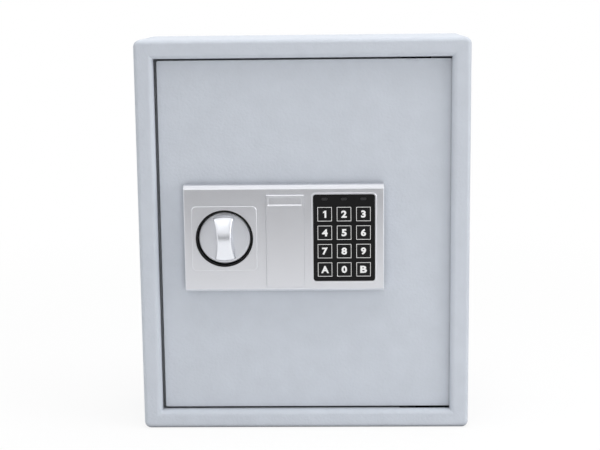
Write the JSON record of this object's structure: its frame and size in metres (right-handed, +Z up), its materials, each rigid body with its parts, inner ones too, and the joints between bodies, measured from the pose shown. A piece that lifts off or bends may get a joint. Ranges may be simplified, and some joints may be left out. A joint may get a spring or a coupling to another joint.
{
  "type": "in-room safe",
  "caption": "Shallow steel in-room safe with a side-hung door, turn knob, push-button keypad, covered key lock and a sliding bolt lock inside the door.",
  "frame": {"origin": "centre of the whole object on the plane that it stands on", "axes": "+X to the hinge side as seen from the front, +Y into the safe, +Z up; the door faces -Y"},
  "size_m": [0.3, 0.1163, 0.358],
  "materials": {
    "painted_steel": "light cool grey powder coat, fine texture",
    "zinc_steel": "zinc plated",
    "bright_steel": "bright turned steel",
    "brass": "plain brass",
    "copper_coil": "wound enamelled copper under tape",
    "fascia_silver": "silver painted moulding, satin",
    "knob_silver": "silver painted moulding, satin",
    "black_plastic": "black moulded plastic",
    "key_black": "black key caps with printed white outline and legend",
    "nylon": "natural nylon",
    "circuit_board": "green glass laminate",
    "cable_grey": "flat ribbon cable",
    "lamp": "tinted indicator lens",
    "battery": "plain wrapped cell",
    "felt": "grey needle felt",
    "button_red": "red moulded button"
  },
  "bodies": {
    "cabinet": {"front_frame": "painted_steel", "body_wrap": "painted_steel", "back_panel": "painted_steel", "hinge_bracket_lower": "zinc_steel", "hinge_bracket_upper": "zinc_steel", "floor_mat": "felt"},
    "door": {"door_plate": "painted_steel", "hinge_lugs": "painted_steel", "hinge_pin_lower": "bright_steel", "hinge_pin_upper": "bright_steel", "hinge_bushes": "black_plastic", "fascia": "fascia_silver", "fascia_screws": "zinc_steel", "knob_ring": "black_plastic", "spindle_bush": "nylon", "keypad_panel": "black_plastic", "keypad_board": "circuit_board", "keypad_cable": "cable_grey", "indicator_lamps": "lamp", "lock_barrel": "bright_steel", "lock_nut": "zinc_steel", "bolt_guide": "zinc_steel", "guide_studs": "zinc_steel", "solenoid_frame": "zinc_steel", "solenoid_coil": "copper_coil", "plunger_spring": "bright_steel", "control_board": "circuit_board", "cover_posts": "zinc_steel", "inner_cover": "painted_steel", "cover_screws": "zinc_steel", "battery_tray": "black_plastic", "batteries": "battery"},
    "knob": {"knob": "knob_silver", "knob_spindle": "bright_steel", "drive_crank": "bright_steel"},
    "bolts": {"bolt_carriage": "zinc_steel", "locking_bolts": "bright_steel", "bolt_screws": "zinc_steel"},
    "plunger": {"plunger": "bright_steel"},
    "lock_core": {"lock_plug": "brass", "lock_tail": "bright_steel"},
    "lock_cover": {"lock_cover": "fascia_silver"},
    "battery_lid": {"battery_lid": "black_plastic"},
    "reset_button": {"reset_button": "button_red"},
    "key_1": {"key_1": "key_black"},
    "key_2": {"key_2": "key_black"},
    "key_3": {"key_3": "key_black"},
    "key_4": {"key_4": "key_black"},
    "key_5": {"key_5": "key_black"},
    "key_6": {"key_6": "key_black"},
    "key_7": {"key_7": "key_black"},
    "key_8": {"key_8": "key_black"},
    "key_9": {"key_9": "key_black"},
    "key_a": {"key_a": "key_black"},
    "key_0": {"key_0": "key_black"},
    "key_b": {"key_b": "key_black"}
  },
  "joints": [
    {"name": "door_hinge", "type": "hinge", "parent": "cabinet", "child": "door", "pos_m": [0.109, -0.02785, 0.179], "axis": [0, 0, 1], "range_deg": [0, 110]},
    {"name": "knob_turn", "type": "hinge", "parent": "door", "child": "knob", "pos_m": [-0.07168, -0.04685, 0.1798], "axis": [0, 1, 0], "range_deg": [0, 90]},
    {"name": "bolt_slide", "type": "slide", "parent": "door", "child": "bolts", "axis": [-1, 0, 0], "range_m": [0, 0.012]},
    {"name": "lock_turn", "type": "hinge", "parent": "door", "child": "lock_core", "pos_m": [-0.01675, -0.04685, 0.1773], "axis": [0, 1, 0], "range_deg": [0, 90]},
    {"name": "plunger_slide", "type": "slide", "parent": "door", "child": "plunger", "axis": [0, 0, -1], "range_m": [0, 0.005], "stiffness_N_per_m": 60, "springref_m": -0.006, "deforming": ["plunger_spring"]},
    {"name": "lock_cover_pull", "type": "slide", "parent": "door", "child": "lock_cover", "axis": [0, -1, 0], "range_m": [0, 0.03]},
    {"name": "battery_lid_pull", "type": "slide", "parent": "door", "child": "battery_lid", "axis": [0, 1, 0], "range_m": [0, 0.03]},
    {"name": "reset_press", "type": "slide", "parent": "door", "child": "reset_button", "axis": [0, -1, 0], "range_m": [0, 0.0012], "stiffness_N_per_m": 300},
    {"name": "key_1_press", "type": "slide", "parent": "door", "child": "key_1", "axis": [0, 1, 0], "range_m": [0, 0.0008], "stiffness_N_per_m": 400},
    {"name": "key_2_press", "type": "slide", "parent": "door", "child": "key_2", "axis": [0, 1, 0], "range_m": [0, 0.0008], "stiffness_N_per_m": 400},
    {"name": "key_3_press", "type": "slide", "parent": "door", "child": "key_3", "axis": [0, 1, 0], "range_m": [0, 0.0008], "stiffness_N_per_m": 400},
    {"name": "key_4_press", "type": "slide", "parent": "door", "child": "key_4", "axis": [0, 1, 0], "range_m": [0, 0.0008], "stiffness_N_per_m": 400},
    {"name": "key_5_press", "type": "slide", "parent": "door", "child": "key_5", "axis": [0, 1, 0], "range_m": [0, 0.0008], "stiffness_N_per_m": 400},
    {"name": "key_6_press", "type": "slide", "parent": "door", "child": "key_6", "axis": [0, 1, 0], "range_m": [0, 0.0008], "stiffness_N_per_m": 400},
    {"name": "key_7_press", "type": "slide", "parent": "door", "child": "key_7", "axis": [0, 1, 0], "range_m": [0, 0.0008], "stiffness_N_per_m": 400},
    {"name": "key_8_press", "type": "slide", "parent": "door", "child": "key_8", "axis": [0, 1, 0], "range_m": [0, 0.0008], "stiffness_N_per_m": 400},
    {"name": "key_9_press", "type": "slide", "parent": "door", "child": "key_9", "axis": [0, 1, 0], "range_m": [0, 0.0008], "stiffness_N_per_m": 400},
    {"name": "key_a_press", "type": "slide", "parent": "door", "child": "key_a", "axis": [0, 1, 0], "range_m": [0, 0.0008], "stiffness_N_per_m": 400},
    {"name": "key_0_press", "type": "slide", "parent": "door", "child": "key_0", "axis": [0, 1, 0], "range_m": [0, 0.0008], "stiffness_N_per_m": 400},
    {"name": "key_b_press", "type": "slide", "parent": "door", "child": "key_b", "axis": [0, 1, 0], "range_m": [0, 0.0008], "stiffness_N_per_m": 400}
  ],
  "couplings": [
    {"joint": "knob_turn", "follows": "bolt_slide", "rad_per_m": 130.9},
    {"joint": "lock_turn", "follows": "plunger_slide", "rad_per_m": 314.16}
  ]
}
